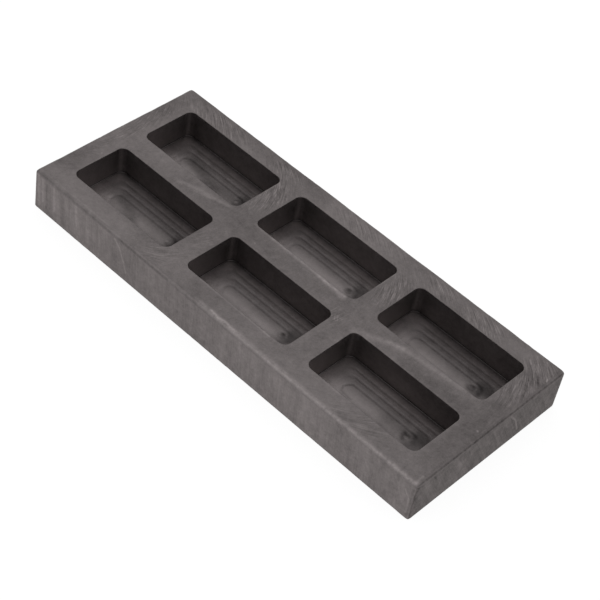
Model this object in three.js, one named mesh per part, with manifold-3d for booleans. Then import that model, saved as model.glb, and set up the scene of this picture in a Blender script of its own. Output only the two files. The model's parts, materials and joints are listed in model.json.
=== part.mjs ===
// A graphite casting mould: one solid block with six open cavities for small metal bars.
// X runs along the block, Y across it, Z up. The origin is the middle of the underside.
import * as THREE from 'three';
import { mergeVertices } from 'three/addons/utils/BufferGeometryUtils.js';
import Module from 'manifold-3d';

// Driving sizes in millimetres
const cavityLength = 50; // along X, at the mouth
const cavityWidth = 25; // along Y, at the mouth
const cavityDepth = 12;
const columnWeb = 10; // wall between neighbouring cavities along X
const rowWeb = 10; // wall between the two rows
const endWall = 10; // wall beyond the last cavity at each short end
const sideWall = 9.5; // wall beside the cavities along each long side
const floorThickness = 6; // graphite under a cavity
const cutterRadius = 3; // the end mill's radius, left in every cavity corner
const floorFillet = 0.4; // wear radius of the cutter, left where wall meets floor
const mouthBreak = 0.3; // small bevel around each cavity mouth
const topEdgeRadius = 1.4; // rounding of the block's upper edges
const footEdgeRadius = 0.2; // rounding of the block's lower edges
const uprightEdgeRadius = 1; // rounding of the four upright edges

// The cutter's marks on a cavity floor
const trackInset = 3.55; // from the cavity wall to the first pass line
const trackPitch = 2.9; // from one pass line to the next
const trackWidth = 0.5;
const trackDepth = 0.1;
const plungeInset = 11; // from the +X wall to where the cutter went down
const plungeRadius = 2.25;
const plungeDepth = 0.3;
const plungeCoreDepth = 0.15; // at the middle, where an end mill cuts least

// How far a cutting body reaches past the face that it opens
const cutOverrun = 1;

// Counts
const columnCount = 3;
const rowCount = 2;
const cornerSteps = 6;
const edgeSteps = 4;
const filletSteps = 2;
const plungeSteps = 24;

// Shares
const fullRoundShare = 0.95; // of half a narrow loop's width, the most that its corners take
const plungeRingShare = 0.55; // of the plunge radius, where the ring groove is deepest

const columnPitch = cavityLength + columnWeb;
const rowPitch = cavityWidth + rowWeb;
const blockLength = columnCount * columnPitch - columnWeb + 2 * endWall;
const blockWidth = rowCount * rowPitch - rowWeb + 2 * sideWall;
const blockHeight = floorThickness + cavityDepth;

// Points of a rectangle with round corners, counter-clockwise from +X
function roundedLoop(length, width, radius, height) {
  const cornerSigns = [[1, 1], [-1, 1], [-1, -1], [1, -1]];
  return cornerSigns.flatMap(([signX, signY], quarter) => {
    const centre = new THREE.Vector3(signX * (length / 2 - radius), signY * (width / 2 - radius), height);
    return Array.from({ length: cornerSteps + 1 }, (unused, step) => {
      const angle = (quarter + step / cornerSteps) * Math.PI / 2;
      const spoke = new THREE.Vector3(Math.cos(angle), Math.sin(angle), 0);
      return centre.clone().addScaledVector(spoke, radius);
    });
  });
}

// Skins a stack of loops into one closed body, with a flat face on the first and the last
function skin(loops) {
  const count = loops[0].length;
  const faces = [];
  for (let level = 0; level + 1 < loops.length; level += 1) {
    for (let point = 0; point < count; point += 1) {
      const here = level * count + point;
      const next = level * count + (point + 1) % count;
      faces.push(here, next, next + count, here, next + count, here + count);
    }
  }
  const top = (loops.length - 1) * count;
  for (let point = 1; point + 1 < count; point += 1) {
    faces.push(0, point + 1, point, top, top + point, top + point + 1);
  }
  const geometry = new THREE.BufferGeometry();
  geometry.setAttribute('position', new THREE.Float32BufferAttribute(loops.flat().flatMap((p) => p.toArray()), 3));
  geometry.setIndex(faces);
  return geometry;
}

// Places on a quarter circle as [across, up] shares of its radius, from its foot to its shoulder
function quarterShares(steps) {
  return Array.from({ length: steps + 1 }, (unused, step) => {
    const angle = step / steps * Math.PI / 2;
    return [1 - Math.sin(angle), 1 - Math.cos(angle)];
  });
}

// The outer block before it is milled, with all its edges rounded
function blockBody() {
  const foot = quarterShares(edgeSteps).map(([across, up]) => [footEdgeRadius * across, footEdgeRadius * up]);
  const shoulder = quarterShares(edgeSteps).reverse().map(([across, up]) => (
    [topEdgeRadius * across, blockHeight - topEdgeRadius * up]
  ));
  return skin([...foot, ...shoulder].map(([inset, height]) => (
    roundedLoop(blockLength - 2 * inset, blockWidth - 2 * inset, uprightEdgeRadius, height)
  )));
}

// Insets from the cavity wall of the pass lines, the innermost first
function trackInsets() {
  const insets = [];
  for (let inset = trackInset; inset + trackWidth < cavityWidth / 2; inset += trackPitch) {
    insets.unshift(inset);
  }
  return insets;
}

// What the end mill takes out of one cavity, centred on the Z axis
function cavityBody() {
  const tracks = trackInsets().flatMap((inset) => [
    [inset + trackWidth / 2, floorThickness],
    [inset, floorThickness - trackDepth],
    [inset - trackWidth / 2, floorThickness],
  ]);
  const fillet = quarterShares(filletSteps).map(([across, up]) => (
    [floorFillet * across, floorThickness + floorFillet * up]
  ));
  const mouth = [
    [0, blockHeight - mouthBreak],
    [-mouthBreak, blockHeight],
    [-mouthBreak, blockHeight + cutOverrun],
  ];
  return skin([...tracks, ...fillet, ...mouth].map(([inset, height]) => {
    const width = cavityWidth - 2 * inset;
    const radius = Math.min(cutterRadius, fullRoundShare * width / 2);
    return roundedLoop(cavityLength - 2 * inset, width, radius, height);
  }));
}

// The shallow ring that the end mill leaves where it goes down into the floor
function plungeBody() {
  const profile = [
    new THREE.Vector2(0, floorThickness - plungeCoreDepth),
    new THREE.Vector2(plungeRingShare * plungeRadius, floorThickness - plungeDepth),
    new THREE.Vector2(plungeRadius, floorThickness),
    new THREE.Vector2(plungeRadius, floorThickness + cutOverrun),
    new THREE.Vector2(0, floorThickness + cutOverrun),
  ];
  return new THREE.LatheGeometry(profile, plungeSteps).rotateX(Math.PI / 2);
}

const wasm = await Module();
wasm.setup();

// A closed mesh as a solid that can be cut and joined
function toSolid(geometry) {
  const bare = geometry.clone();
  bare.deleteAttribute('normal');
  bare.deleteAttribute('uv');
  const merged = mergeVertices(bare);
  return new wasm.Manifold(new wasm.Mesh({
    numProp: 3,
    vertProperties: new Float32Array(merged.attributes.position.array),
    triVerts: new Uint32Array(merged.index.array),
  }));
}

// A solid back as a mesh geometry
function toGeometry(solid) {
  const mesh = solid.getMesh();
  const geometry = new THREE.BufferGeometry();
  geometry.setAttribute('position', new THREE.BufferAttribute(mesh.vertProperties, mesh.numProp));
  geometry.setIndex(new THREE.BufferAttribute(mesh.triVerts, 1));
  geometry.computeVertexNormals();
  return geometry;
}

// Middle of one cell in a row of evenly spaced ones that straddles zero
function spreadPlace(index, count, pitch) {
  return (index - (count - 1) / 2) * pitch;
}

// The block with every cavity milled into it
function mouldGeometry() {
  const plungeX = cavityLength / 2 - plungeInset;
  const cut = toSolid(cavityBody()).add(toSolid(plungeBody().translate(plungeX, 0, 0)));
  let mould = toSolid(blockBody());
  for (let column = 0; column < columnCount; column += 1) {
    for (let row = 0; row < rowCount; row += 1) {
      const place = [spreadPlace(column, columnCount, columnPitch), spreadPlace(row, rowCount, rowPitch), 0];
      mould = mould.subtract(cut.translate(place));
    }
  }
  return toGeometry(mould);
}

// Dense machined graphite, dark grey with a soft metallic sheen
function graphite() {
  return new THREE.MeshStandardMaterial({ color: 0x5f5c5b, roughness: 0.45, metalness: 0.6 });
}

const mouldBlock = new THREE.Mesh(mouldGeometry(), graphite());
mouldBlock.name = 'mould_block';

const mould = new THREE.Group();
mould.add(mouldBlock);

export default mould;
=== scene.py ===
import json
import math

import bpy
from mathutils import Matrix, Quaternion, Vector, noise


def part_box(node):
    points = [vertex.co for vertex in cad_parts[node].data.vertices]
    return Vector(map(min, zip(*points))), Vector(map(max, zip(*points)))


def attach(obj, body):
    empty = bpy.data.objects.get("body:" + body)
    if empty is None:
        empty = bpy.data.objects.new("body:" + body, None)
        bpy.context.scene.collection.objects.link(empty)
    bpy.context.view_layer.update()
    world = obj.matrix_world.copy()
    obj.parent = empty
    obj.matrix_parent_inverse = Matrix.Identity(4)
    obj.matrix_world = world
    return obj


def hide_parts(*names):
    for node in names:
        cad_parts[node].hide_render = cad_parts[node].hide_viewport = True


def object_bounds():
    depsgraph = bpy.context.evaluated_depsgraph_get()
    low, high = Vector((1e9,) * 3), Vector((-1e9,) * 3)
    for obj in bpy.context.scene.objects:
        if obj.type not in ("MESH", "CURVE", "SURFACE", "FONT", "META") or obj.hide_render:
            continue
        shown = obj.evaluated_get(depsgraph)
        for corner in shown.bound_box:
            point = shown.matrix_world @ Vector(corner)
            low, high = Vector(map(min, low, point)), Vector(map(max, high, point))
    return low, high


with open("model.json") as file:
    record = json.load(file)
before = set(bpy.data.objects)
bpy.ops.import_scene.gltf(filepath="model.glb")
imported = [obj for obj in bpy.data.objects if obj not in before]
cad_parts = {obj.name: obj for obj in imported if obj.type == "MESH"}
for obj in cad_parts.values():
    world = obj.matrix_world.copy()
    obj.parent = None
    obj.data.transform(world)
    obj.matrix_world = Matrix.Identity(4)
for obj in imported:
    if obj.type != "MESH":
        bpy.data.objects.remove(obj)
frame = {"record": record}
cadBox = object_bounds()
print("frame loaded")

mm = 0.001  # sizes below are in metres, unless they say millimetres
tiny = 1e-9  # places closer than this are one place
placeDigits = 8  # decimals of a metre by which two points are told apart

# The graphite block. Its overall size and its cavities' places come from the frame.
mouldBlock = {
    "openingGap": 1 * mm,  # how far the frame's opening boxes stay off the cavity walls
    "openingLift": 0.1 * mm,  # and off the cavity floor
    "cutterRadius": 3 * mm,  # round corners of the cavities
    "mouthBreak": 0.3 * mm,  # worn bevel around each cavity mouth
    "floorFillet": 0.4 * mm,
    "topEdgeRadius": 1.4 * mm,
    "footEdgeRadius": 0.2 * mm,
    "uprightEdgeRadius": 1 * mm,
    "support": 0.12 * mm,  # narrow faces beside an edge, which keep its shading tight
    "longCuts": 40,  # along a cavity's long side
    "plungeCuts": 12,  # closer ones at its +X end, near the plunge mark
    "plungeShare": 0.88,  # how far along the long side the closer ones start
    "shortCuts": 14,
    "cornerCuts": 16,
    "cornerCrowding": 1.6,  # draws the top face's points towards its corners
    "topShares": [1, 0.7, 0.45, 0.2, 0],  # loops from a cell's outline in to its mouth
    "wallRows": 4,
    "sideRows": 14,
    "edgeRows": 6,
    "footRows": 3,
    "bevelRows": 3,  # of the mouths' bevels and of the fillets at the walls' feet
}

# The passes of the end mill on a cavity floor
floorPasses = {
    "sideLines": [3.6 * mm, 6.45 * mm, 9.4 * mm],  # from the long walls
    "leftLines": [3.6 * mm, 6.4 * mm, 9.0 * mm],  # from the -X wall
    "rightLines": [1.8 * mm, 4.6 * mm, 7.5 * mm],  # from the +X wall
    "leftStrengths": [0.2, 0.35, 0.85],  # how much of each line is left along the -X wall
    "leftShade": 0.2,  # and of the painted shade beside that wall
    "leftFootShade": 0.7,  # and right at its foot
    "lineWidth": 1.8 * mm,
    "lineDepth": 0.052 * mm,
    # across a line: place and depth, as shares of its width and depth, and how much of its painted shade
    "lineShape": [
        (-0.5, 0, 0),
        (-0.3, 0.3, 0.1),
        (-0.1, 0.85, 0.6),
        (0.1, 1, 1),
        (0.3, 0.5, 0.6),
        (0.5, 0, 0),
    ],
    "bandShares": [0, 0.33, 0.67],  # loops between two lines
    "slotRings": 8,  # in the first pass, along the middle
    "wallShade": 1.15 * mm,  # how far the painted shade at a wall's foot reaches
    "footShade": 1.2,  # how strong that painted shade is right at the foot
}

# Where the end mill went down into each floor, and where it dwelt beside that
plungeMarks = {
    # from each cavity's +X wall, in the order of the frame's openings
    "insets": [10.4 * mm, 10.6 * mm, 11.2 * mm, 11.4 * mm, 11.4 * mm, 11.6 * mm],
    "ringRadius": 1.2 * mm,
    "ringWidth": 0.6 * mm,
    "ringDepth": 0.09 * mm,
    "dwellOffset": 3.4 * mm,
    "dwellRadius": 1.1 * mm,
    "dwellDepth": 0.08 * mm,
    "floorSlack": 0.1 * mm,  # how far from the floor's height its points can be
    "reach": 10.2 * mm,  # beyond this the marks are too shallow to count
}

# How unevenly the edges are rubbed: waves of wear, always inward
edgeWear = {
    "most": 0.12 * mm,
    "waves": [(90, 0.6), (420, 0.4)],  # how many per metre, and the share of each
    "evenWear": 0.25,  # what is worn off between the waves, as a share of the most
    "faceReach": 2 * mm,  # how near an outer face a point is pushed in from it
    "mouthShare": 0.5,  # how much of it there is at the cavities' mouths
    "leastEdge": 0.01,  # points with less of an edge in them keep their place
}

# Small damage to the edges: place, reach, and which way and how far it goes in, all in millimetres
edgeChips = [
    ((37.5, -4.7, 18), 1.5, (0, 0.25, -0.45)),
    ((39.8, -4.8, 18), 1.0, (0, 0.3, -0.4)),
    ((42.3, -4.8, 18), 1.2, (0, 0.3, -0.4)),
    ((94.6, -39.0, 17.2), 2.2, (-0.35, 0.3, -0.35)),
    ((94.9, -39.4, 11.5), 1.6, (-0.35, 0.15, 0)),
    ((94.9, -39.3, 6.5), 1.8, (-0.25, 0.25, 0)),
    ((2, -39.0, 17.6), 1.3, (0, 0.18, -0.15)),
    ((6.5, -38.9, 17.7), 1.0, (0, 0.18, -0.15)),
]

# The straight runs of a loop, and the signs of the corner after each
frontRun, rightRun, backRun, leftRun = range(4)
cornerSigns = [(1, -1), (1, 1), (-1, 1), (-1, -1)]


def mix(a, b, share):
    return a + (b - a) * share


def cavityPlaces():
    # low and high corners of each cavity, from the opening boxes of the frame
    gap, lift = mouldBlock["openingGap"], mouldBlock["openingLift"]
    places = []
    for opening in frame["record"]["physics"]["openings"]:
        low, high = (Vector(corner) for corner in opening["box_m"])
        places.append((low - Vector((gap, gap, lift)), high + Vector((gap, gap, 0))))
    return places


def longShares():
    start, count = mouldBlock["plungeShare"], mouldBlock["plungeCuts"]
    coarse = [start * step / mouldBlock["longCuts"] for step in range(mouldBlock["longCuts"])]
    return coarse + [mix(start, 1, step / count) for step in range(count + 1)]


def loopSpots():
    # spots round a loop: the straight runs front, right, back and left, each with the corner after it
    alongX = longShares()
    alongY = [step / mouldBlock["shortCuts"] for step in range(mouldBlock["shortCuts"] + 1)]
    corner = [step / mouldBlock["cornerCuts"] for step in range(mouldBlock["cornerCuts"])]
    spots = []
    for run, shares in enumerate([alongX, alongY, alongX[::-1], alongY[::-1]]):
        spots += [("run", run, share) for share in shares[:-1]]
        spots += [("corner", run, share) for share in corner]
    return spots


def loopPoint(spot, low, high, radius):
    # a place on a rectangle with round corners
    kind, run, share = spot
    if kind == "run" and run in (frontRun, backRun):
        return mix(low[0] + radius, high[0] - radius, share), (low[1] if run == frontRun else high[1])
    if kind == "run":
        return (high[0] if run == rightRun else low[0]), mix(low[1] + radius, high[1] - radius, share)
    signX, signY = cornerSigns[run]
    angle = (run - 1 + share) * math.pi / 2
    centreX = high[0] - radius if signX > 0 else low[0] + radius
    centreY = high[1] - radius if signY > 0 else low[1] + radius
    return centreX + radius * math.cos(angle), centreY + radius * math.sin(angle)


def cellPoint(spot, low, high, cavityLow, cavityHigh, radius):
    # the matching place on the sharp outline of the top face's share around one cavity
    kind, run, share = spot
    if kind == "run":
        x, y = loopPoint(spot, cavityLow, cavityHigh, radius)
        return [(x, low[1]), (high[0], y), (x, high[1]), (low[0], y)][run]
    signX, signY = cornerSigns[run]
    startX = cavityHigh[0] - radius if signX > 0 else cavityLow[0] + radius
    startY = cavityHigh[1] - radius if signY > 0 else cavityLow[1] + radius
    cornerX = high[0] if signX > 0 else low[0]
    cornerY = high[1] if signY > 0 else low[1]
    firstHalf = share <= 0.5
    way = 2 * share if firstHalf else 2 * (1 - share)
    way = 1 - (1 - way) ** mouldBlock["cornerCrowding"]
    if firstHalf == (run in (frontRun, backRun)):
        return mix(startX, cornerX, way), cornerY
    return cornerX, mix(startY, cornerY, way)


def roundCornerShade(x, y, halfX, halfY, radius):
    # moves a place near a sharp corner of a centred rectangle in, onto its round one
    coreX = max(-halfX + radius, min(halfX - radius, x))
    coreY = max(-halfY + radius, min(halfY - radius, y))
    offX, offY = x - coreX, y - coreY
    length = math.hypot(offX, offY)
    if length < tiny:
        return x, y
    scale = max(abs(offX), abs(offY)) / length
    return coreX + offX * scale, coreY + offY * scale


class MouldMesh:
    # the block's points and faces; points that coincide are one, and each has values for the material

    def __init__(self, names):
        self.points, self.faces, self.found = [], [], {}
        self.values = {name: [] for name in names}

    def add(self, x, y, z, **values):
        key = (round(x, placeDigits), round(y, placeDigits), round(z, placeDigits))
        if key not in self.found:
            self.found[key] = len(self.points)
            self.points.append(Vector((x, y, z)))
            for name, kept in self.values.items():
                kept.append(values.get(name, 0.0))
        return self.found[key]

    def face(self, corners):
        kept = list(dict.fromkeys(corners))
        if len(kept) > 2:
            self.faces.append(kept)

    def bridge(self, outer, inner):
        for here in range(len(outer)):
            after = (here + 1) % len(outer)
            self.face([inner[here], outer[here], outer[after], inner[after]])

    def build(self, name):
        data = bpy.data.meshes.new(name)
        data.from_pydata(self.points, [], self.faces)
        data.update()
        for title, kept in self.values.items():
            data.attributes.new(title, "FLOAT", "POINT").data.foreach_set("value", kept)
        data.polygons.foreach_set("use_smooth", [True] * len(data.polygons))
        piece = bpy.data.objects.new(name, data)
        bpy.context.scene.collection.objects.link(piece)
        return piece


def quarterTurns(steps):
    return [step / steps * math.pi / 2 for step in range(steps + 1)]


def cavityLevels(top, ground, halfWidth):
    # from the mouth down and in to the middle of the floor: each loop's insets from the left, right and
    # long walls, its height and corner radius, and its values for the material
    size = mouldBlock
    levels = []
    for angle in quarterTurns(size["bevelRows"]):
        outset = size["mouthBreak"] * (1 - math.sin(angle))
        drop = size["mouthBreak"] * (1 - math.cos(angle))
        values = {"edge": edgeWear["mouthShare"]}
        levels.append(((-outset,) * 3, top - drop, size["cutterRadius"] + outset, values))
    wallTop, wallFoot = top - size["mouthBreak"], ground + size["floorFillet"]
    shares = [size["support"] / (wallTop - wallFoot)]
    shares += [step / size["wallRows"] for step in range(1, size["wallRows"])] + [1 - shares[0]]
    for share in shares:
        levels.append(((0.0,) * 3, mix(wallTop, wallFoot, share), size["cutterRadius"], {"wall": 1.0}))
    for angle in quarterTurns(size["bevelRows"]):
        inset = size["floorFillet"] * (1 - math.cos(angle))
        lift = size["floorFillet"] * (1 - math.sin(angle))
        # the fillet at the wall's foot gets the strongest painted shade
        values = {"wall": 1 - math.sin(angle), "near": floorPasses["footShade"]}
        levels.append(((inset,) * 3, ground + lift, size["cutterRadius"] - inset, values))
    return levels + floorLevels(ground, halfWidth)


def floorLevels(ground, halfWidth):
    # flat passes, parted by shallow grooves, in to the slot along the middle
    radius, width = mouldBlock["cutterRadius"], floorPasses["lineWidth"]
    starts = [mouldBlock["floorFillet"] + mouldBlock["support"]] * 3
    levels = []

    def addLevel(insets, sink=0.0, **values):
        # painted shade, fading away from the long walls
        near = math.exp(-(insets[2] / floorPasses["wallShade"]) ** 2)
        levels.append((tuple(insets), ground - sink, radius, {"floor": 1.0, "near": near, **values}))

    lines = zip(floorPasses["leftLines"], floorPasses["rightLines"], floorPasses["sideLines"])
    for line, weak in zip(lines, floorPasses["leftStrengths"]):
        ends = [inset - width / 2 for inset in line]
        for share in floorPasses["bandShares"]:
            addLevel([mix(a, b, share) for a, b in zip(starts, ends)])
        for off, depthShare, shade in floorPasses["lineShape"]:
            sink = floorPasses["lineDepth"] * depthShare
            addLevel([inset + off * width for inset in line], sink, groove=shade, weak=weak)
        starts = [inset + width / 2 + mouldBlock["support"] for inset in line]
    halfSlot = halfWidth - starts[2]
    for step in range(floorPasses["slotRings"] + 1):
        inward = halfSlot * step / floorPasses["slotRings"]
        addLevel([start + inward for start in starts], slot=1.0)
    return levels


def leftFade(spot, weak):
    # how much is left at a spot of something that is weaker along the -X wall
    kind, run, share = spot
    if kind == "run":
        return weak if run == leftRun else 1.0
    return {backRun: mix(1.0, weak, share), leftRun: mix(weak, 1.0, share)}.get(run, 1.0)


def spotValues(spot, values):
    # a level's values at one spot: walls know their round corners, which get painted shade, and the
    # painted shade at the walls' feet and in the grooves fades along the -X wall
    corner = math.sin(math.pi * spot[2]) if spot[0] == "corner" else 0.0
    placed = {**values, "corner": corner * values.get("wall", 0.0)}
    weakNear = floorPasses["leftShade" if "floor" in values else "leftFootShade"]
    placed["near"] = values.get("near", 0.0) * leftFade(spot, weakNear)
    placed["groove"] = values.get("groove", 0.0) * leftFade(spot, values.get("weak", 1.0))
    return placed


def buildCell(mesh, spots, low, high, cellLow, cellHigh, halfTop):
    # one cavity, with the top face around it
    size = mouldBlock
    reach = size["mouthBreak"] + size["support"]
    mouthLow, mouthHigh = (low.x - reach, low.y - reach), (high.x + reach, high.y + reach)
    loops = []
    for share in size["topShares"]:
        loop = []
        for spot in spots:
            inner = loopPoint(spot, mouthLow, mouthHigh, size["cutterRadius"] + reach)
            outer = cellPoint(spot, cellLow, cellHigh, low, high, size["cutterRadius"])
            x, y = mix(inner[0], outer[0], share), mix(inner[1], outer[1], share)
            loop.append(mesh.add(*roundCornerShade(x, y, *halfTop, size["uprightEdgeRadius"]), high.z, top=1.0))
        loops.append(loop)
    for insets, z, radius, values in cavityLevels(high.z, low.z, (high.y - low.y) / 2):
        left, right, side = insets
        loopLow, loopHigh = (low.x + left, low.y + side), (high.x - right, high.y - side)
        radius = max(0.0, min(radius, (loopHigh[1] - loopLow[1]) / 2))
        loop = []
        for spot in spots:
            height = mix(low.z, z, leftFade(spot, values.get("weak", 1.0))) if z < low.z else z
            x, y = loopPoint(spot, loopLow, loopHigh, radius)
            loop.append(mesh.add(x, y, height, **spotValues(spot, values)))
        loops.append(loop)
    for outer, inner in zip(loops, loops[1:]):
        mesh.bridge(outer, inner)


def cellBounds(places, halfTop):
    # the lines that share the top face out between the cavities, as low and high for each cavity
    columns = sorted({round(low.x, placeDigits): (low.x, high.x) for low, high in places}.values())
    rows = sorted({round(low.y, placeDigits): (low.y, high.y) for low, high in places}.values())

    def cuts(spans, half):
        return [-half] + [(a[1] + b[0]) / 2 for a, b in zip(spans, spans[1:])] + [half]

    cutsX, cutsY = cuts(columns, halfTop[0]), cuts(rows, halfTop[1])
    bounds = []
    for low, high in places:
        column = next(i for i, span in enumerate(columns) if abs(span[0] - low.x) < mm)
        row = next(i for i, span in enumerate(rows) if abs(span[0] - low.y) < mm)
        bounds.append(((cutsX[column], cutsY[row]), (cutsX[column + 1], cutsY[row + 1])))
    return bounds


def topOutline(spots, places, bounds, halfTop):
    # places on the top face's outline before its corners are rounded, anticlockwise
    radius = mouldBlock["cutterRadius"]
    xs, ys = {}, {}
    for (low, high), (cellLow, cellHigh) in zip(places, bounds):
        for spot in spots:
            x, y = cellPoint(spot, cellLow, cellHigh, low, high, radius)
            if abs(y + halfTop[1]) < tiny:
                xs[round(x, placeDigits)] = x
            if abs(x - halfTop[0]) < tiny:
                ys[round(y, placeDigits)] = y
    xs, ys = sorted(xs.values()), sorted(ys.values())
    outline = [(x, -halfTop[1]) for x in xs] + [(halfTop[0], y) for y in ys[1:]]
    return outline + [(x, halfTop[1]) for x in xs[-2::-1]] + [(-halfTop[0], y) for y in ys[-2:0:-1]]


def sideLevels(height):
    # from the top face's outline over the edge, down the side and under the foot: inset, height, values
    size = mouldBlock
    topEdge, footEdge, support = size["topEdgeRadius"], size["footEdgeRadius"], size["support"]
    levels = []
    for angle in quarterTurns(size["edgeRows"]):
        drop = topEdge * (1 - math.cos(angle))
        levels.append((topEdge * (1 - math.sin(angle)), height - drop, {"edge": math.sin(2 * angle)}))
    sideTop, sideFoot = height - topEdge, footEdge
    shares = [support / (sideTop - sideFoot)]
    shares += [step / size["sideRows"] for step in range(1, size["sideRows"])] + [1 - shares[0]]
    levels += [(0.0, mix(sideTop, sideFoot, share), {"side": 1.0}) for share in shares]
    for angle in quarterTurns(size["footRows"]):
        lift = footEdge * (1 - math.sin(angle))
        levels.append((footEdge * (1 - math.cos(angle)), lift, {"edge": math.sin(2 * angle)}))
    return levels + [(footEdge + support, 0.0, {})]


def buildSides(mesh, outline, half, halfTop, height):
    loops = []
    radius = mouldBlock["uprightEdgeRadius"]
    for inset, z, values in sideLevels(height):
        halfX, halfY = half[0] - inset, half[1] - inset
        loop = []
        for x, y in outline:
            x, y = x * halfX / halfTop[0], y * halfY / halfTop[1]
            loop.append(mesh.add(*roundCornerShade(x, y, halfX, halfY, radius), z, **values))
        loops.append(loop)
    for upper, lower in zip(loops, loops[1:]):
        mesh.bridge(lower, upper)
    mesh.face(loops[-1][::-1])


def sinkPlunges(mesh, places):
    # the ring that the end mill cut where it went down, and the lighter mark where it dwelt
    size = plungeMarks
    for (low, high), inset in zip(places, size["insets"]):
        centre = Vector((high.x - inset, (low.y + high.y) / 2, low.z))
        dwell = centre + Vector((size["dwellOffset"], 0, 0))
        for point in mesh.points:
            if abs(point.z - low.z) < size["floorSlack"] and (point - centre).length < size["reach"]:
                off = ((point.xy - centre.xy).length - size["ringRadius"]) / size["ringWidth"]
                offDwell = (point.xy - dwell.xy).length / size["dwellRadius"]
                point.z -= size["ringDepth"] * math.exp(-off * off)
                point.z -= size["dwellDepth"] * math.exp(-offDwell * offDwell)


def inwardSign(place, half):
    # towards the middle, or 0 where the place is far from the outer faces
    if abs(place) <= half - edgeWear["faceReach"]:
        return 0
    return -math.copysign(1, place)


def wearEdges(mesh, half, height):
    # the unevenness of the rubbed edges, and the small chips
    for index, point in enumerate(mesh.points):
        edge = mesh.values["edge"][index]
        if edge > edgeWear["leastEdge"]:
            waves = sum(noise.noise(point * scale) * share for scale, share in edgeWear["waves"])
            down = -1 if point.z > height / 2 else 1
            inward = Vector((inwardSign(point.x, half[0]), inwardSign(point.y, half[1]), down))
            point += inward * (edge * edgeWear["most"] * max(0.0, waves + edgeWear["evenWear"]))
        for place, reach, way in edgeChips:
            share = (point / mm - Vector(place)).length / reach
            if share < 1:
                point += Vector(way) * mm * (1 - share * share) ** 2


def buildMould():
    low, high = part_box("mould_block")
    half = (high.x, high.y)
    halfTop = (half[0] - mouldBlock["topEdgeRadius"], half[1] - mouldBlock["topEdgeRadius"])
    places, spots = cavityPlaces(), loopSpots()
    bounds = cellBounds(places, halfTop)
    mesh = MouldMesh(["top", "wall", "corner", "near", "floor", "groove", "slot", "edge", "side"])
    for (cavityLow, cavityHigh), (cellLow, cellHigh) in zip(places, bounds):
        buildCell(mesh, spots, cavityLow, cavityHigh, cellLow, cellHigh, halfTop)
    buildSides(mesh, topOutline(spots, places, bounds, halfTop), half, halfTop, high.z)
    sinkPlunges(mesh, places)
    wearEdges(mesh, half, high.z)
    return mesh.build("mouldBlock")


# The graphite's finish, with painted light and shade on the cavity floors and walls, the outer sides and
# the edges. Shares of its own brightness, where 0 changes nothing.
graphite = {
    "colour": (0.139, 0.125, 0.124),
    "roughness": 0.45,
    "sawnRoughness": 0.52,  # the outer sides
    # graphite gains less brightness at a flat angle than bright metal does
    "grazingTint": (0.81, 0.785, 0.775),
    "grain": 1.55,  # fine and coarse grain, all over
    "sawnGrain": 0.6,  # more of it on the outer sides, twice that on the short ones
    "clouds": 0.8,  # broad paler and darker places
    # painted light: the cavity floors lighter all over
    "cavityFloorLight": 0.36,
    "slot": 0.1,  # the cutter's first pass, along the middle
    "floorStartLight": 0.26,  # painted light at the -X end of each floor
    "floorEndShade": -0.42,  # painted shade at the +X end
    "floorMiddleShade": -0.24,  # painted shade behind the middle of each floor
    "floorBackLight": 0.08,  # painted light along the back wall
    # painted shade at the walls' feet
    "wallFootShadeShare": -0.58,
    # painted shade: the cavity walls a little darker
    "wall": -0.03,
    # painted light: the walls at the cavities' ends lighter than the long walls
    "endWall": 0.34,
    # painted shade in the walls' round corners
    "roundCornerShade": -0.38,
    # painted shade in the floors' grooves
    "groove": -0.1,
    # painted light: the outer sides lighter
    "paintedSideLight": 0.2,
    # painted shade: the outer ends darker than the long sides
    "endFaceShade": -0.44,
    # the rounded edges lighter, partly wear and partly painted highlight
    "edges": 0.1,
    # bright specks along them, partly wear and partly painted highlight
    "edgeSpecksAndHighlights": 0.8,
    "arcs": 1.1,  # the face cutter's, across the top
    "sawStreaks": 0.6,
    "endStreaks": 0.12,  # more of them on the short sides
    "strokeBreakUp": 2.5,  # how unevenly the strokes below are rubbed
    "leastTone": 0.05,
    "endFacing": (0.55, 0.85),  # how squarely an end face or end wall looks along X
    "grainRoughness": 0.3,
    "arcRoughness": -0.3,
    "grainHeight": 2.0,  # of the bumps, in bump distances
    "arcHeight": 1.5,
    "bumpDistance": 0.03 * mm,
}

# Its noise patterns: scale per millimetre, detail and roughness
patterns = {
    "grain": (0.28, 6, 0.95),
    "clouds": (0.028, 2, 0.6),
    "specks": (0.4, 3, 0.7),
    "breakUp": (0.8, 3, 0.7),
    "fineStreaks": (1.4, 3, 0.6),
    "broadStreaks": (0.25, 2, 0.5),
}

# The upright streaks that the saw left on the outer sides
sawCut = {
    "slant": 0.07,  # how far a streak leans, on the long sides
    "endSlant": 0.56,  # and on the ends
    "stretch": 0.07,  # how fast a streak changes on its way down, next to across
    "endOffset": 40.0,  # places the ends in another part of the noise
}

# Zones of each floor where light and shade are painted, in millimetres from the middle of its cavity.
# Each eases in from its first value to its second, columns along X and rows along Y.
floorZones = {
    "startColumns": (-13.5, -18.5),
    "endColumns": (12.5, 16.0),
    "endRows": (8.0, 2.0),
    "middleRows": [(8.0, 4.0), (-2.0, 2.5)],
    "backRows": (7.0, 9.5),
}

# The face cutter's arcs on the top face, in millimetres
faceCutter = {
    "radius": 43.0,
    "broadLines": (0.9, 0.09, 1.0),  # noise scale across and along an arc, and between layers
    "fineLines": (2.4, 0.24, 2.0),
    "layer": 3.0,
    "broadShare": 0.75,  # of the broad lines, next to the fine ones
    "scratchLimit": 0.07,  # fine lines above this are bright scratches
    "scratchShare": 2.4,
    "base": 0.12,  # how much of the arcs shows outside the patches below
    "patchFade": (1.1, 0.3),  # from no arcs to all of a patch's, in its half sizes
    "patchFlatness": 0.1,  # how little a patch minds the height
}

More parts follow.
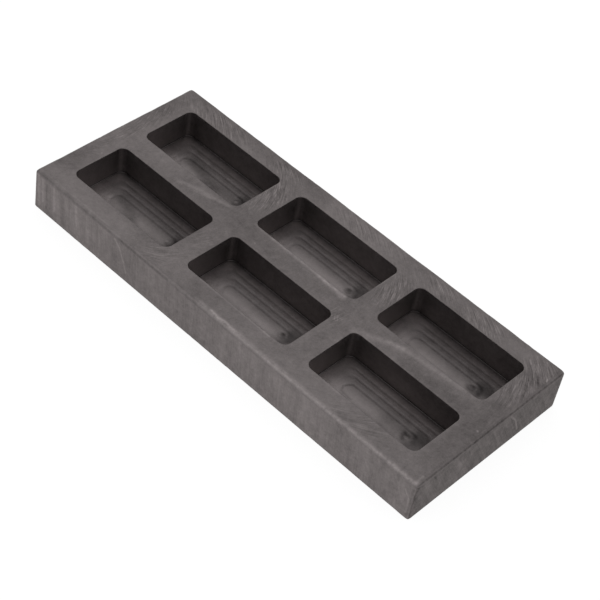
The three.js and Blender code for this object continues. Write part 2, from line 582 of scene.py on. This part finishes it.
# Patches of the top face where the arcs show: middle and half size in millimetres, and strength
arcPatches = [
    ((-32, 21), (8, 13), 1.0),
    ((31, 21), (7, 14), 0.8),
    ((41, 35), (9, 6), 1.0),
    ((62, 34), (12, 6), 1.0),
    ((89, 31), (8, 12), 1.2),
    ((90, 17), (6, 9), 0.8),
    ((-38, 34), (10, 6), 0.8),
    ((-72, 34), (22, 7), 0.8),
    ((4, 35), (26, 5), 0.5),
    ((-91, 8), (5, 30), 0.4),
    ((-30, -17), (6, 12), 0.3),
    ((-35, -33), (9, 7), 0.6),
    ((64, -34), (15, 6), 0.4),
    ((26, -6), (5, 5), 0.6),
]

# Rubbed and scratched lines, and along some edges painted highlights and shade: the points that they run
# through and the half width, in millimetres, and how much lighter or darker they are
strokes = [
    # smears on the middle web
    ([(34.5, -5.4, 18), (40.9, -2.9, 18), (45.9, -0.7, 18), (51.6, 1.4, 18)], 2.4, 0.32),
    ([(46, 0.2, 18), (51.6, 1.8, 18), (60.1, 2.7, 18), (70.9, 3.5, 18), (78, 4.4, 18)], 1.6, 0.29),
    ([(-58, -1.9, 18), (-53.1, 0.3, 18), (-46, 1.8, 18), (-36.7, 3.8, 18)], 1.5, 0.26),
    ([(-51, -0.8, 18), (-44, 1.4, 18)], 0.9, 0.16),
    ([(-24, 4.6, 18), (-14.7, 4.5, 18)], 1.0, 0.26),
    ([(-14.7, 4.5, 18), (4, 4.4, 18), (21.5, 4.1, 18)], 1.4, 0.42),
    ([(9, 4.2, 18), (15, 3.7, 18), (21.6, 3.0, 18)], 1.8, 0.42),
    # where the cutter's passes overlap, on the floor of the right front cavity
    ([(46.1, -14.8, 6), (43.9, -17.8, 6), (45, -20, 6), (50, -20.3, 6)], 0.7, -0.3),
    # the webs between the cavities
    ([(32.4, -14.6, 18), (34.6, -13.9, 18)], 1.2, 0.16),
    ([(24, -21, 18), (28, -18, 18), (33, -14.4, 18)], 1.1, -0.07),
    ([(-17.6, -2.3, 18), (-17.2, -2.6, 18)], 0.6, 0.3),
    ([(-28, -6.6, 18), (-25.6, -8, 18)], 0.8, 0.14),
    ([(25.4, -5.0, 18), (27.0, -7.2, 18)], 0.35, 0.3),
    ([(26.5, -4.8, 18), (28.1, -6.8, 18)], 0.35, 0.26),
    # rims of the cavities
    ([(-16, -30.4, 18), (2, -30.5, 18), (18, -30.6, 18)], 0.8, 0.24),
    ([(15.5, -30.5, 18), (18, -30.7, 18)], 0.9, 0.3),
    ([(44, -30.6, 18), (52, -30.7, 18)], 0.6, 0.14),
    ([(-34.6, 28, 18), (-34.6, 20, 18)], 0.5, 0.25),
    ([(25.4, 27, 18), (25.4, 17, 18)], 0.5, 0.2),
    # the +X margin
    ([(92.4, -6.1, 18), (92.6, -6.3, 18)], 0.6, 0.8),
    ([(92.5, 0.1, 18), (92.8, -0.6, 18)], 0.7, 0.16),
    ([(93.7, 6, 18), (93.8, -6, 18)], 0.5, 0.14),
    ([(93.2, 31.2, 18), (93.6, 30, 18)], 0.6, 0.6),
    ([(83.4, 33.4, 18), (85.0, 32.2, 18)], 0.5, 0.5),
    ([(84, 37, 18), (88, 32.5, 18)], 0.5, 0.25),
    ([(88, 37.5, 18), (93, 32, 18)], 0.45, 0.25),
    ([(86.5, 26, 18), (89.5, 15, 18)], 0.5, 0.2),
    # the -X end
    ([(-87.1, -14.3, 18), (-86.6, -14.8, 18)], 0.8, 0.25),
    ([(-91.7, 36.2, 18), (-85.3, 30.5, 18)], 0.7, 0.1),
    ([(-77.5, 36.5, 18), (-73.5, 32.2, 18)], 0.6, 0.12),
    ([(-40.3, 35.5, 18), (-35.3, 29, 18)], 0.5, 0.14),
    ([(-33.8, 12.6, 18), (-31.4, 8.4, 18)], 0.5, 0.18),
    # the front margin and its edge: scratches, lighter and darker lines, and painted highlights and shade
    # along the edge
    ([(-29.6, -26.6, 18), (-35.3, -36.6, 18)], 0.8, 0.14),
    ([(-33, -33, 18), (-38.9, -38.6, 18)], 0.6, 0.12),
    ([(-26.3, -24, 18), (-32.6, -31, 18)], 0.7, 0.1),
    ([(-94, -37.9, 18), (-57, -38.0, 18)], 0.8, 0.16),
    # painted shade on the edge's rounding, towards -X
    ([(-94, -39.1, 17.5), (-57, -39.2, 17.3), (-24, -39.3, 17.2)], 0.8, -0.28),
    # painted highlight along the edge
    ([(-10.4, -38.2, 18), (34, -38.7, 17.8), (94, -39.1, 17.6)], 1.5, 0.3),
    # bright spots beside the chips
    ([(-3, -37.9, 18), (1, -38.4, 17.9), (3.4, -37.8, 18), (9.2, -38.3, 17.9)], 0.8, 0.5),
    # lines across the margin
    ([(74, -31, 18), (62, -38, 18)], 0.7, 0.1),
    ([(67, -31, 18), (58, -38, 18)], 0.5, -0.1),
    ([(61, -30.8, 18), (54, -37.5, 18)], 0.6, 0.12),
    # painted highlights at the front right corner
    ([(84, -38.6, 17.7), (93.5, -38.9, 17.5)], 0.9, 0.2),
    ([(93.3, -35, 18), (93.5, -38.8, 17.7)], 0.8, 0.4),
    # the front side
    ([(-93, -39.5, 16.3), (-92.4, -39.5, 2)], 1.3, 0.42),
    ([(-90.6, -39.5, 15.8), (-90.2, -39.5, 5)], 0.7, 0.32),
    ([(-88.4, -39.5, 15), (-88.2, -39.5, 3)], 0.6, -0.28),
    ([(-86.4, -39.5, 15), (-86.1, -39.5, 4)], 0.5, -0.24),
    ([(-84.4, -39.5, 15.5), (-83.8, -39.5, 5)], 1.1, 0.3),
    ([(-79.5, -39.5, 12), (-78.4, -39.5, 3.5)], 2.6, -0.2),
    ([(-76, -39.5, 13), (-75.4, -39.5, 7)], 0.6, -0.16),
    ([(-72.4, -39.5, 16), (-71.4, -39.5, 7)], 1.3, 0.32),
    ([(-66, -39.5, 14), (-65, -39.5, 4)], 1.6, 0.1),
    ([(-60.5, -39.5, 16), (-60, -39.5, 7)], 0.6, -0.16),
    ([(-59.4, -39.5, 12.4), (-58.6, -39.5, 8)], 0.6, 0.2),
    ([(-51, -39.5, 16), (-48.3, -39.5, 13.4), (-45.8, -39.5, 8.5), (-44.2, -39.5, 4.3)], 0.85, 0.36),
    ([(9.3, -39.5, 14), (10.2, -39.5, 4.5)], 0.6, -0.16),
    ([(24, -39.5, 13), (24.6, -39.5, 2.5)], 2.4, -0.06),
    ([(28.8, -39.5, 9.4), (29.3, -39.5, 7.4)], 0.8, 0.18),
    ([(63, -39.5, 8.5), (66, -39.5, 6.2), (69, -39.5, 6.8)], 0.8, 0.1),
    ([(72.8, -39.5, 11.5), (76.8, -39.5, 5.5)], 0.6, 0.13),
    ([(78, -39.5, 15.5), (81, -39.5, 10)], 0.6, 0.1),
    ([(86, -39.5, 15.5), (89.8, -39.5, 8)], 0.9, 0.12),
    ([(89, -39.5, 12), (89.8, -39.5, 4)], 0.5, -0.1),
    ([(91, -39.5, 12.6), (93.1, -39.5, 9.6), (93.4, -39.5, 3)], 0.7, 0.34),
    # the +X end: painted shade along its front upright edge and its top edge, then streaks
    ([(94.1, -39.5, 16.3), (94.1, -39.5, 2)], 1.3, -0.28),
    ([(94.9, -37, 17.4), (94.9, 37, 17.4)], 1.7, -0.07),
    ([(94.1, -37, 18), (94.1, 37, 18)], 1.4, -0.1),
    # streaks and lighter and darker places on the end face
    ([(95, -30.6, 16), (95, -28, 12.2)], 0.8, -0.2),
    ([(95, -36, 15.5), (95, -31, 9)], 3.0, 0.14),
    ([(95, 0.6, 15), (95, 4.2, 9.3), (95, 7.3, 3.4)], 1.2, 0.24),
    ([(95, 9.6, 16), (95, 13.8, 10.9), (95, 16.8, 4)], 0.65, 0.6),
    ([(95, 31.8, 7.4), (95, 33.8, 3)], 0.7, 0.24),
    ([(95, 12, 3), (95, 22, 3)], 1.4, -0.12),
]

# Broad paler and darker places, some of them painted light and shade, given as the strokes above but not
# broken up
patches = [
    # the top face and the outer sides: uneven tone, and painted light and shade
    # painted light: the front margin lighter towards -X
    ([(-50, -35, 18), (-90, -35, 18)], 9.0, 0.12),
    # uneven tone
    ([(-88, 37, 18), (-20, 37, 18)], 7.0, -0.1),
    ([(45, 36, 18), (88, 35, 18)], 7.0, 0.13),
    ([(-91, -28, 18), (-91, 28, 18)], 6.0, -0.14),
    # painted shade: the +X margin and the web beside it darker
    ([(90, -28, 18), (90, 8, 18)], 7.0, -0.2),
    ([(90, 8, 18), (90, 26, 18)], 6.0, -0.1),
    ([(58, -2.6, 18), (82, -2.2, 18)], 7.0, -0.27),
    # painted light: the front side lighter at its -X end
    ([(-94, -39.5, 9), (-82, -39.5, 9)], 12.0, 0.1),
    # painted highlight along the front top edge
    ([(-8, -38.3, 18), (94, -38.8, 17.8)], 2.0, 0.14),
    # uneven tone
    ([(-28, -1, 18), (16, -1, 18)], 6.0, -0.1),
    ([(30, -28, 18), (30, -8, 18)], 7.0, -0.12),
    ([(-17, -31, 18), (-10.4, -38, 18)], 3.2, -0.12),
    # painted light: the front side lighter towards -X
    ([(-90, -39.5, 10), (-52, -39.5, 10)], 13.0, 0.16),
    ([(-40, -39.5, 10), (40, -39.5, 10)], 13.0, 0.07),
    # the floors of the cavities
    ([(-77, -13, 6), (-44, -13, 6)], 13.0, -0.14),
    ([(-73, -16.2, 6), (-68, -17.6, 6), (-63, -20.2, 6)], 5.0, -0.5),
    ([(-76.5, -17.5, 6), (-76.3, -18.5, 6)], 1.4, 0.2),
    ([(-77, 22, 6), (-44, 22, 6)], 13.0, -0.12),
    ([(-71, 19.4, 6), (-64, 18, 6), (-57, 16.5, 6), (-46, 16.5, 6)], 5.2, -0.54),
    ([(-61.5, 14.6, 6), (-56, 14.6, 6)], 5.0, -0.3),
    ([(0, -16, 6), (8, -16, 6)], 5.0, -0.2),
    ([(64.5, -18, 6), (72, -18.5, 6)], 5.0, -0.3),
    ([(-12, 16, 6), (10, 16, 6)], 4.5, 0.1),
    # painted light in each floor's corner between its -X wall and its back wall
    ([(-82.5, 22, 6), (-82.5, 26.5, 6)], 3.5, 0.25),
    ([(-82.5, -13, 6), (-82.5, -9, 6)], 3.5, 0.2),
    ([(-22.5, 22, 6), (-22.5, 26.5, 6)], 3.5, 0.12),
    ([(-22.5, -13, 6), (-22.5, -9, 6)], 3.5, 0.28),
    # the ends around the plunge marks
    ([(14.5, -19, 6), (20, -19, 6)], 6.0, -0.36),
    ([(17, 17, 6), (20, 17, 6)], 5.0, 0.08),
    ([(74.5, -18, 6), (80, -18, 6)], 6.0, -0.12),
    # the plunge marks, and where the cutter dwelt beside them
    ([(-43.6, -15.6, 6), (-43.1, -17.6, 6), (-43.8, -19.2, 6)], 1.2, -0.4),
    ([(-46.0, -17.6, 6), (-45.4, -16.7, 6), (-44.9, -16.9, 6)], 0.9, 0.55),
    ([(-45.6, -18.6, 6), (-45.2, -18.5, 6)], 0.8, -0.25),
    ([(-46.4, 20.4, 6), (-43.8, 18.6, 6)], 1.8, -0.3),
    ([(-45.5, 17.6, 6), (-45.3, 17.8, 6)], 1.1, 0.7),
    ([(13.6, -17.4, 6), (14.1, -17.3, 6)], 1.9, -0.5),
    ([(12.6, -15.6, 6), (14.6, -15.2, 6), (16.1, -16.6, 6)], 0.8, -0.25),
    ([(14.9, -16.4, 6), (15.5, -17.4, 6)], 0.7, 0.35),
    ([(16.8, -18, 6), (17.6, -17, 6)], 2.2, -0.2),
    ([(13.3, 17.3, 6), (13.6, 17.2, 6)], 1.9, -0.9),
    ([(17.2, 17.4, 6), (17.9, 16.2, 6)], 1.8, -0.5),
    ([(15.3, 16.6, 6), (15.4, 16.2, 6)], 0.7, 0.3),
    ([(71.8, -16.2, 6), (71.8, -18.0, 6), (73.0, -19.4, 6)], 1.6, -0.4),
    ([(73.4, -15.0, 6), (75.4, -15.6, 6), (76.2, -17.6, 6)], 1.6, -0.4),
    ([(72.7, -16.9, 6), (73.6, -16.7, 6)], 1.7, -0.5),
    ([(75.0, -18.2, 6), (75.6, -17.2, 6)], 0.9, 0.4),
    ([(73.4, 17.1, 6), (73.5, 17, 6)], 3.4, -0.75),
    ([(73.6, 20.8, 6), (75.6, 20, 6), (76.8, 18.2, 6), (76.9, 16.4, 6)], 1.5, -0.42),
    ([(79.6, 16.2, 6), (80.4, 15.4, 6)], 3.0, 0.3),
    ([(75.0, 17.8, 6), (75.1, 16.6, 6)], 0.7, 0.4),
]


class NodeSheet:
    # short ways to add shader nodes and join them up

    def __init__(self, tree):
        self.tree = tree

    def node(self, kind, inputs=None, **settings):
        made = self.tree.nodes.new(kind)
        for name, value in settings.items():
            setattr(made, name, value)
        for name, value in (inputs or {}).items():
            self.feed(made.inputs[name], value)
        return made

    def feed(self, socket, value):
        if isinstance(value, bpy.types.NodeSocket):
            self.tree.links.new(value, socket)
        else:
            socket.default_value = value

    def math(self, operation, *values):
        return self.node("ShaderNodeMath", dict(enumerate(values)), operation=operation).outputs[0]

    def clamped(self, value):
        # a node of its own, because many Math nodes that clamp are more than the renderer can hold
        return self.node("ShaderNodeClamp", {"Value": value}).outputs[0]

    def vector(self, operation, *values):
        made = self.node("ShaderNodeVectorMath", dict(enumerate(values)), operation=operation)
        return made.outputs["Value" if operation in ("DOT_PRODUCT", "LENGTH", "DISTANCE") else "Vector"]

    def scaled(self, vector, factor):
        made = self.node("ShaderNodeVectorMath", {0: vector, "Scale": factor}, operation="SCALE")
        return made.outputs["Vector"]

    def joined(self, x, y, z):
        return self.node("ShaderNodeCombineXYZ", {"X": x, "Y": y, "Z": z}).outputs[0]

    def attribute(self, name):
        return self.node("ShaderNodeAttribute", attribute_name=name).outputs["Fac"]

    def noise(self, vector, scale=1.0, detail=2.0, roughness=0.5):
        # centred on 0
        inputs = {"Vector": vector, "Scale": scale, "Detail": detail, "Roughness": roughness}
        fac = self.node("ShaderNodeTexNoise", inputs, noise_dimensions="3D").outputs["Fac"]
        return self.math("SUBTRACT", fac, 0.5)

    def eased(self, value, start, end, low=0.0, high=1.0):
        inputs = {"Value": value, "From Min": start, "From Max": end, "To Min": low, "To Max": high}
        return self.node("ShaderNodeMapRange", inputs, interpolation_type="SMOOTHSTEP").outputs["Result"]

    def total(self, values):
        result = values[0]
        for value in values[1:]:
            result = self.math("ADD", result, value)
        return result

    def weighted(self, pairs):
        # the sum of masks, each times its share, around 1
        result = 1.0
        for mask, share in pairs:
            result = self.math("MULTIPLY_ADD", mask, share, result)
        return result


def pathDistance(sheet, place, path):
    # how far a place is from the nearest stretch of a path
    nearest = None
    for start, end in zip(path, path[1:]):
        start, run = Vector(start), Vector(end) - Vector(start)
        off = sheet.vector("SUBTRACT", place, start)
        share = sheet.vector("DOT_PRODUCT", off, run / run.length_squared)
        away = sheet.vector("DISTANCE", off, sheet.scaled(run, sheet.clamped(share)))
        nearest = away if nearest is None else sheet.math("MINIMUM", nearest, away)
    return nearest


def markLayer(sheet, place, marks):
    # rubbed, scratched, paler and darker places, each eased off over its half width
    result = 0.0
    for path, halfWidth, strength in marks:
        mask = sheet.eased(pathDistance(sheet, place, path), halfWidth, 0.0)
        result = sheet.math("MULTIPLY_ADD", mask, strength, result)
    return result


def arcLayer(sheet, place, x, y):
    # the face cutter's arcs, which bulge towards +X, strong only in some patches
    size, topHeight = faceCutter, cadBox[1][2] / mm
    square = sheet.math("SUBTRACT", size["radius"] ** 2, sheet.math("MULTIPLY", y, y))
    bent = sheet.joined(sheet.math("SUBTRACT", x, sheet.math("SQRT", square)), y, size["layer"])
    broad = sheet.noise(sheet.vector("MULTIPLY", bent, size["broadLines"]))
    fine = sheet.noise(sheet.vector("MULTIPLY", bent, size["fineLines"]))
    shown = size["base"]
    for (middleX, middleY), (reachX, reachY), strength in arcPatches:
        off = sheet.vector("SUBTRACT", place, (middleX, middleY, topHeight))
        off = sheet.vector("MULTIPLY", off, (1 / reachX, 1 / reachY, size["patchFlatness"]))
        mask = sheet.eased(sheet.vector("LENGTH", off), *size["patchFade"])
        shown = sheet.math("MULTIPLY_ADD", mask, strength, shown)
    scratches = sheet.math("MAXIMUM", sheet.math("SUBTRACT", fine, size["scratchLimit"]), 0.0)
    lines = sheet.total([
        sheet.math("MULTIPLY", broad, size["broadShare"]),
        fine,
        sheet.math("MULTIPLY", scratches, size["scratchShare"]),
    ])
    return sheet.math("MULTIPLY", lines, shown)


def sawStreaks(sheet, x, y, z, endFace):
    # fine and broad streaks, upright on the long sides and leaning on the ends
    alongFront = sheet.math("MULTIPLY_ADD", z, sawCut["slant"], x)
    alongEnd = sheet.math("MULTIPLY_ADD", z, sawCut["endSlant"], y)
    # inputs 2 and 3 are what a Mix node mixes when it works on floats
    mixed = sheet.node("ShaderNodeMix", {"Factor": endFace, 2: alongFront, 3: alongEnd}, data_type="FLOAT")
    down = sheet.math("MULTIPLY", z, sawCut["stretch"])
    place = sheet.joined(mixed.outputs[0], down, sheet.math("MULTIPLY", endFace, sawCut["endOffset"]))
    return [sheet.noise(place, *patterns[name]) for name in ("fineStreaks", "broadStreaks")]


def cavityPitch(axis):
    # from one cavity to the next along an axis, in millimetres
    starts = sorted({round(low[axis], placeDigits) for low, high in cavityPlaces()})
    return (starts[1] - starts[0]) / mm


def floorMasks(sheet, x, y, openFloor):
    # the start, end, middle and back zones of the floors, where light and shade are painted, which repeat
    # with the cavities: a column is centred on the block, and there is a row on each side of its middle
    columnPitch, rowPitch = cavityPitch(0), cavityPitch(1)
    column = sheet.math("WRAP", x, columnPitch / 2, -columnPitch / 2)
    row = sheet.math("SUBTRACT", sheet.math("WRAP", y, rowPitch, 0.0), rowPitch / 2)

    def crossed(first, second):
        return sheet.math("MULTIPLY", first, second)

    start = sheet.eased(column, *floorZones["startColumns"])
    end = crossed(sheet.eased(column, *floorZones["endColumns"]), sheet.eased(row, *floorZones["endRows"]))
    middle = crossed(*(sheet.eased(row, *limits) for limits in floorZones["middleRows"]))
    back = sheet.eased(row, *floorZones["backRows"])
    return [crossed(zone, openFloor) for zone in (start, end, middle, back)]


def graphiteMaterial():
    material = bpy.data.materials.new("graphite")
    material.use_nodes = True
    sheet = NodeSheet(material.node_tree)
    shader = material.node_tree.nodes["Principled BSDF"]
    coordinates = sheet.node("ShaderNodeTexCoord")
    place = sheet.scaled(coordinates.outputs["Object"], 1 / mm)
    parts = sheet.node("ShaderNodeSeparateXYZ", {"Vector": place})
    x, y, z = (parts.outputs[name] for name in "XYZ")
    facing = sheet.node("ShaderNodeSeparateXYZ", {"Vector": coordinates.outputs["Normal"]})
    top, side, edge = (sheet.attribute(name) for name in ("top", "side", "edge"))
    floor, near, groove = (sheet.attribute(name) for name in ("floor", "near", "groove"))
    slot, wall, corner = (sheet.attribute(name) for name in ("slot", "wall", "corner"))
    turned = sheet.eased(sheet.math("ABSOLUTE", facing.outputs["X"]), *graphite["endFacing"])
    endFace = sheet.math("MULTIPLY", turned, sheet.clamped(sheet.math("ADD", side, edge)))
    endWall = sheet.math("MULTIPLY", turned, wall)

    grain, clouds, specks = (sheet.noise(place, *patterns[name]) for name in ("grain", "clouds", "specks"))
    breakUp = sheet.noise(place, *patterns["breakUp"])
    breakUp = sheet.math("MULTIPLY_ADD", breakUp, graphite["strokeBreakUp"], 1.0)
    arcs = sheet.math("MULTIPLY", arcLayer(sheet, place, x, y), top)
    fineStreaks, broadStreaks = sawStreaks(sheet, x, y, z, endFace)
    streaks = sheet.math("MULTIPLY", sheet.total([fineStreaks, broadStreaks]), side)
    openFloor = sheet.math("MULTIPLY", floor, sheet.math("SUBTRACT", 1.0, near))
    floorStartLight, floorEndShade, floorMiddleShade, floorBackLight = floorMasks(sheet, x, y, openFloor)

    # the graphite's tone: grain, marks and streaks, and painted light and shade on the floors, walls,
    # round corners, grooves, outer sides, edges and some strokes and patches
    tone = sheet.weighted([
        (grain, graphite["grain"]),
        (sheet.math("MULTIPLY", grain, sheet.math("ADD", side, endFace)), graphite["sawnGrain"]),
        (clouds, graphite["clouds"]),
        (arcs, graphite["arcs"]),
        (streaks, graphite["sawStreaks"]),
        (sheet.math("MULTIPLY", streaks, turned), graphite["endStreaks"]),
        (floor, graphite["cavityFloorLight"]),
        (groove, graphite["groove"]),
        (slot, graphite["slot"]),
        (side, graphite["paintedSideLight"]),
        (endFace, graphite["endFaceShade"]),
        (wall, graphite["wall"]),
        (endWall, graphite["endWall"]),
        (corner, graphite["roundCornerShade"]),
        (edge, graphite["edges"]),
        (sheet.math("MULTIPLY", edge, specks), graphite["edgeSpecksAndHighlights"]),
        (sheet.math("MULTIPLY", markLayer(sheet, place, strokes), breakUp), 1.0),
        (markLayer(sheet, place, patches), 1.0),
    ])
    # painted light and shade on the floors, and painted shade at the walls' feet
    shade = sheet.weighted([
        (floorStartLight, graphite["floorStartLight"]),
        (floorEndShade, graphite["floorEndShade"]),
        (floorMiddleShade, graphite["floorMiddleShade"]),
        (floorBackLight, graphite["floorBackLight"]),
        (near, graphite["wallFootShadeShare"]),
    ])
    tone = sheet.math("MULTIPLY", sheet.math("MAXIMUM", tone, graphite["leastTone"]), shade)
    sheet.feed(shader.inputs["Base Color"], sheet.scaled(graphite["colour"], tone))

    sawnExtra = graphite["sawnRoughness"] - graphite["roughness"]
    rough = sheet.total([
        sheet.math("MULTIPLY_ADD", side, sawnExtra, graphite["roughness"]),
        sheet.math("MULTIPLY", grain, graphite["grainRoughness"]),
        sheet.math("MULTIPLY", arcs, graphite["arcRoughness"]),
    ])
    sheet.feed(shader.inputs["Roughness"], rough)
    height = sheet.total([
        sheet.math("MULTIPLY", grain, graphite["grainHeight"]),
        sheet.math("MULTIPLY", arcs, graphite["arcHeight"]),
        sheet.math("MULTIPLY", fineStreaks, side),
    ])
    bump = sheet.node("ShaderNodeBump", {"Height": height, "Distance": graphite["bumpDistance"]})
    sheet.feed(shader.inputs["Normal"], bump.outputs["Normal"])
    shader.inputs["Metallic"].default_value = 1.0
    shader.inputs["Specular Tint"].default_value = (*graphite["grazingTint"], 1)
    return material


# The studio: a white table, a bright room and two large soft lamps
studio = {
    "floorSize": 6.0,
    "floorDrop": 0.02 * mm,  # keeps the table just clear of the block's underside
    "floorTone": 0.14,
    "floorGlow": 0.9,  # brings the table up to white where it is seen, also in reflections
    "roomStrength": 0.92,
}

# Its lamps, each facing the block: place and size in metres, and power in watts
lamps = {
    "backLamp": ((-0.35, 0.32, 0.46), 0.35, 0.12),
    "frontLamp": ((-0.33, -0.57, 0.47), 0.4, 0.3),
}

# The photographer's view; the lens and the sensor are in millimetres, the clip distances in metres
viewpoint = {
    "place": (264.4 * mm, -354.4 * mm, 448.5 * mm),
    "aim": (12.82 * mm, -9.85 * mm, 18 * mm),
    "rollDegrees": 11.31,
    "lens": 103.73,
    "sensor": 36.0,
    "nearest": 0.01,
    "farthest": 20.0,
}


def buildStage():
    size, drop = studio["floorSize"] / 2, studio["floorDrop"]
    data = bpy.data.meshes.new("studioFloor")
    corners = [(-size, -size, -drop), (size, -size, -drop), (size, size, -drop), (-size, size, -drop)]
    data.from_pydata(corners, [], [(0, 1, 2, 3)])
    floor = bpy.data.objects.new("studioFloor", data)
    bpy.context.scene.collection.objects.link(floor)
    material = bpy.data.materials.new("whiteTable")
    material.use_nodes = True
    sheet = NodeSheet(material.node_tree)
    shader = material.node_tree.nodes["Principled BSDF"]
    ray = sheet.node("ShaderNodeLightPath").outputs
    seen = sheet.total([ray["Is Camera Ray"], ray["Is Glossy Ray"], ray["Is Transmission Ray"]])
    seen = sheet.clamped(seen)
    tone = studio["floorTone"]
    shader.inputs["Base Color"].default_value = (tone, tone, tone, 1)
    shader.inputs["Roughness"].default_value = 1.0
    shader.inputs["Specular IOR Level"].default_value = 0.0
    shader.inputs["Emission Color"].default_value = (1, 1, 1, 1)
    sheet.feed(shader.inputs["Emission Strength"], sheet.math("MULTIPLY", seen, studio["floorGlow"]))
    data.materials.append(material)


def buildLight():
    world = bpy.data.worlds.new("studioRoom")
    world.use_nodes = True
    background = world.node_tree.nodes["Background"]
    background.inputs["Color"].default_value = (1, 1, 1, 1)
    background.inputs["Strength"].default_value = studio["roomStrength"]
    bpy.context.scene.world = world
    for name, (place, size, power) in lamps.items():
        data = bpy.data.lights.new(name, "AREA")
        data.shape, data.size, data.energy = "SQUARE", size, power
        lamp = bpy.data.objects.new(name, data)
        bpy.context.scene.collection.objects.link(lamp)
        lamp.location = place
        lamp.rotation_euler = (-Vector(place)).to_track_quat("-Z", "Y").to_euler()


def buildCamera():
    data = bpy.data.cameras.new("photoCamera")
    data.lens, data.sensor_width = viewpoint["lens"], viewpoint["sensor"]
    data.clip_start, data.clip_end = viewpoint["nearest"], viewpoint["farthest"]
    camera = bpy.data.objects.new("photoCamera", data)
    bpy.context.scene.collection.objects.link(camera)
    place, aim = Vector(viewpoint["place"]), Vector(viewpoint["aim"])
    level = (aim - place).to_track_quat("-Z", "Y")
    camera.rotation_mode = "QUATERNION"
    camera.rotation_quaternion = level @ Quaternion((0, 0, 1), math.radians(viewpoint["rollDegrees"]))
    camera.location = place
    bpy.context.scene.camera = camera


mould = buildMould()
mould.data.materials.append(graphiteMaterial())
print("graphite material built")
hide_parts("mould_block")
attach(mould, "root")
print("mould block built:", len(mould.data.polygons), "faces")

buildStage()
buildLight()
buildCamera()
bpy.context.scene.view_settings.view_transform = "Standard"
print("studio built")
